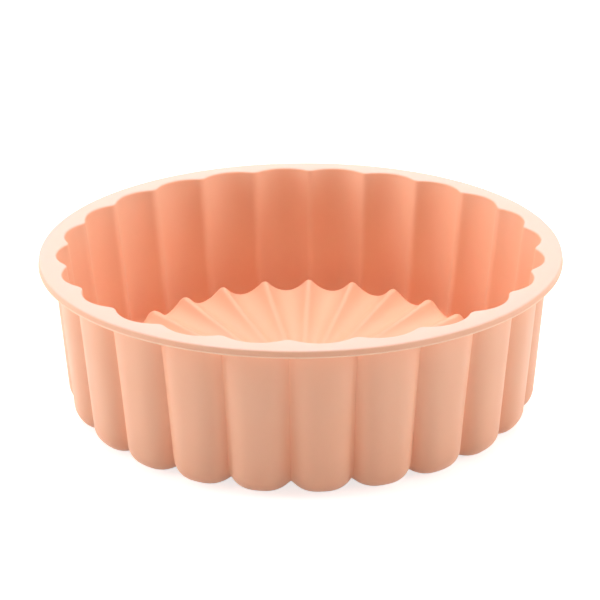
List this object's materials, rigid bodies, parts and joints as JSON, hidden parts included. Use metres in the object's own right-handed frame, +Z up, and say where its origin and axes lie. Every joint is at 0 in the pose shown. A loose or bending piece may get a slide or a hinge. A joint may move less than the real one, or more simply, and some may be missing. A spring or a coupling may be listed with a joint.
{
  "type": "silicone round cake mould",
  "caption": "Round silicone cake mould with a flat rim, a fluted wall and a raised floor pleated like a star.",
  "frame": {"origin": "centre of the mould on the surface it stands on", "axes": "+Z up through the mouth, +X through a ridge between two lobes of the wall"},
  "size_m": [0.2288, 0.2288, 0.07],
  "materials": {
    "silicone": "satin peach-coloured silicone rubber"
  },
  "bodies": {
    "root": {"cake_mould": "silicone"}
  },
  "joints": []
}
